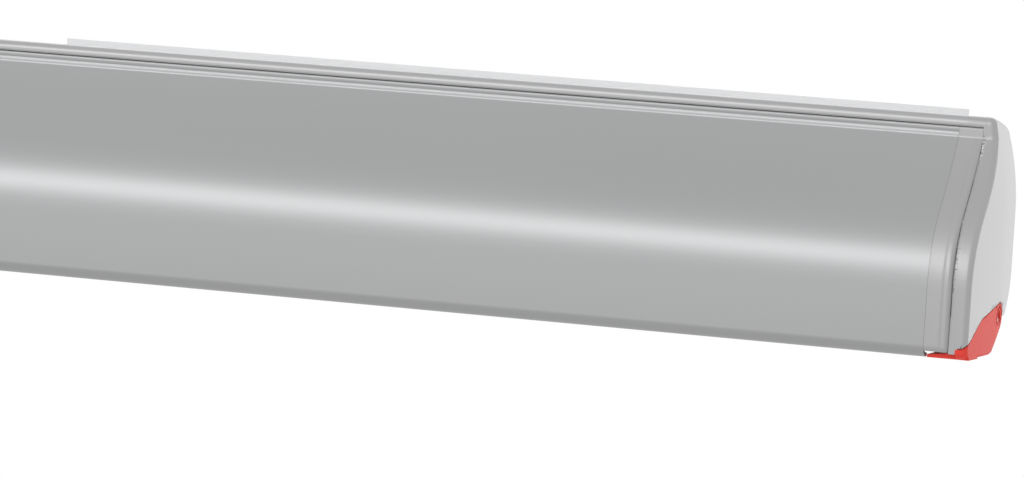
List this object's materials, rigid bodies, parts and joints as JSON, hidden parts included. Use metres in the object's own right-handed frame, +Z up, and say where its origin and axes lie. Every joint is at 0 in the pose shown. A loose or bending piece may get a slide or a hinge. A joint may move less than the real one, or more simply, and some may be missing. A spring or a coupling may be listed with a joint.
{
  "type": "roll out awning",
  "caption": "Closed cassette awning for a camper wall: the front bar pulls out with the canopy, rafters swing out and legs fold down from inside the bar.",
  "frame": {"origin": "on the wall plane, at the middle of the centre wall rail, on the line of its two screw holes", "axes": "+X along the case to the right as seen from outside, +Y into the vehicle wall, +Z up"},
  "size_m": [1.852, 0.0807, 0.0955],
  "materials": {
    "face_metal": "satin silver grey paint",
    "case_metal": "satin silver grey paint",
    "cap_plastic": "satin silver grey moulded plastic",
    "lever_plastic": "glossy red moulded plastic",
    "rail_metal": "pale anodised aluminium",
    "leg_metal": "satin anodised aluminium",
    "tube_steel": "galvanised",
    "bright_steel": "zinc plated",
    "spring_steel": "oiled spring steel",
    "black_plastic": "moulded, fine grain",
    "keder_plastic": "smooth cord",
    "seal_rubber": "matt",
    "canopy_cloth": "coated woven awning cloth"
  },
  "bodies": {
    "case": {"case_profile": "case_metal", "hood_seal": "seal_rubber", "lever_pins": "bright_steel", "end_screws": "bright_steel", "cap_screws": "bright_steel", "clamp_screws": "bright_steel", "idler_axle": "bright_steel", "spring_shaft": "bright_steel", "spring_anchor": "bright_steel", "roller_spring": "spring_steel", "rafter_pins": "bright_steel", "wall_rail_left": "rail_metal", "wall_rail_centre": "rail_metal", "wall_rail_right": "rail_metal", "outer_cap_right": "cap_plastic", "outer_cap_left": "cap_plastic", "end_plate_right": "case_metal", "end_plate_left": "case_metal", "rafter_bracket_right": "case_metal", "rafter_bracket_left": "case_metal"},
    "front_bar": {"lead_bar": "face_metal", "canopy_keder": "keder_plastic", "canopy_flap": "canopy_cloth", "leg_pins": "bright_steel", "bar_cap_right": "cap_plastic", "bar_cap_left": "cap_plastic", "leg_hinge_block_right": "black_plastic", "leg_hinge_block_left": "black_plastic", "rafter_seat_right": "black_plastic", "rafter_seat_left": "black_plastic"},
    "roller": {"canopy_roll": "canopy_cloth", "roller_tube": "tube_steel", "roller_plug_right": "black_plastic", "roller_plug_left": "black_plastic"},
    "right_leg": {"leg_outer_right": "leg_metal", "leg_outer_collar_right": "black_plastic"},
    "right_leg_slider": {"leg_middle_right": "leg_metal", "leg_middle_collar_right": "black_plastic"},
    "right_leg_end": {"leg_inner_right": "leg_metal", "leg_foot_right": "black_plastic"},
    "right_rafter": {"rafter_outer_right": "leg_metal"},
    "right_rafter_slider": {"rafter_inner_right": "leg_metal", "rafter_tip_right": "black_plastic"},
    "right_lock": {"lock_lever_right": "lever_plastic"},
    "left_leg": {"leg_outer_left": "leg_metal", "leg_outer_collar_left": "black_plastic"},
    "left_leg_slider": {"leg_middle_left": "leg_metal", "leg_middle_collar_left": "black_plastic"},
    "left_leg_end": {"leg_inner_left": "leg_metal", "leg_foot_left": "black_plastic"},
    "left_rafter": {"rafter_outer_left": "leg_metal"},
    "left_rafter_slider": {"rafter_inner_left": "leg_metal", "rafter_tip_left": "black_plastic"},
    "left_lock": {"lock_lever_left": "lever_plastic"}
  },
  "joints": [
    {"name": "bar_slide", "type": "slide", "parent": "case", "child": "front_bar", "axis": [0, -1, 0], "range_m": [0, 1.8], "stiffness_N_per_m": 15, "springref_m": -0.4, "deforming": ["canopy_flap"]},
    {"name": "roller_spin", "type": "hinge", "parent": "case", "child": "roller", "pos_m": [0, -0.0285, -0.035], "axis": [1, 0, 0], "range_deg": [0, 5100], "deforming": ["roller_spring"]},
    {"name": "rafter_swing_right", "type": "hinge", "parent": "case", "child": "right_rafter", "pos_m": [0.866, -0.0145, -0.0713], "axis": [0, 0, 1], "range_deg": [0, 72.1]},
    {"name": "rafter_extend_right", "type": "slide", "parent": "right_rafter", "child": "right_rafter_slider", "axis": [-1, 0, 0], "range_m": [0, 0.863]},
    {"name": "leg_swing_right", "type": "hinge", "parent": "front_bar", "child": "right_leg", "pos_m": [0.885, -0.0625, -0.065], "axis": [0, -1, 0], "range_deg": [0, 90]},
    {"name": "leg_slide_right", "type": "slide", "parent": "right_leg", "child": "right_leg_slider", "axis": [-1, 0, 0], "range_m": [0, 0.62]},
    {"name": "leg_end_slide_right", "type": "slide", "parent": "right_leg_slider", "child": "right_leg_end", "axis": [-1, 0, 0], "range_m": [0, 0.6]},
    {"name": "lock_turn_right", "type": "hinge", "parent": "case", "child": "right_lock", "pos_m": [0.915, -0.035, -0.065], "axis": [1, 0, 0], "range_deg": [0, 75]},
    {"name": "rafter_swing_left", "type": "hinge", "parent": "case", "child": "left_rafter", "pos_m": [-0.866, -0.0145, -0.0629], "axis": [0, 0, -1], "range_deg": [0, 72.1]},
    {"name": "rafter_extend_left", "type": "slide", "parent": "left_rafter", "child": "left_rafter_slider", "axis": [1, 0, 0], "range_m": [0, 0.863]},
    {"name": "leg_swing_left", "type": "hinge", "parent": "front_bar", "child": "left_leg", "pos_m": [-0.885, -0.0625, -0.065], "axis": [0, 1, 0], "range_deg": [0, 90]},
    {"name": "leg_slide_left", "type": "slide", "parent": "left_leg", "child": "left_leg_slider", "axis": [1, 0, 0], "range_m": [0, 0.62]},
    {"name": "leg_end_slide_left", "type": "slide", "parent": "left_leg_slider", "child": "left_leg_end", "axis": [1, 0, 0], "range_m": [0, 0.6]},
    {"name": "lock_turn_left", "type": "hinge", "parent": "case", "child": "left_lock", "pos_m": [-0.915, -0.035, -0.065], "axis": [1, 0, 0], "range_deg": [0, 75]}
  ],
  "couplings": [
    {"joint": "roller_spin", "follows": "bar_slide", "rad_per_m": 49.383},
    {"joint": "rafter_swing_right", "follows": "bar_slide", "rad_per_m": 0.69813},
    {"joint": "rafter_extend_right", "follows": "bar_slide", "ratio": 0.47927},
    {"joint": "leg_slide_right", "follows": "leg_swing_right", "m_per_rad": 0.39407},
    {"joint": "leg_end_slide_right", "follows": "leg_swing_right", "m_per_rad": 0.38134},
    {"joint": "rafter_swing_left", "follows": "bar_slide", "rad_per_m": 0.69813},
    {"joint": "rafter_extend_left", "follows": "bar_slide", "ratio": 0.47927},
    {"joint": "leg_slide_left", "follows": "leg_swing_left", "m_per_rad": 0.39407},
    {"joint": "leg_end_slide_left", "follows": "leg_swing_left", "m_per_rad": 0.38134}
  ]
}
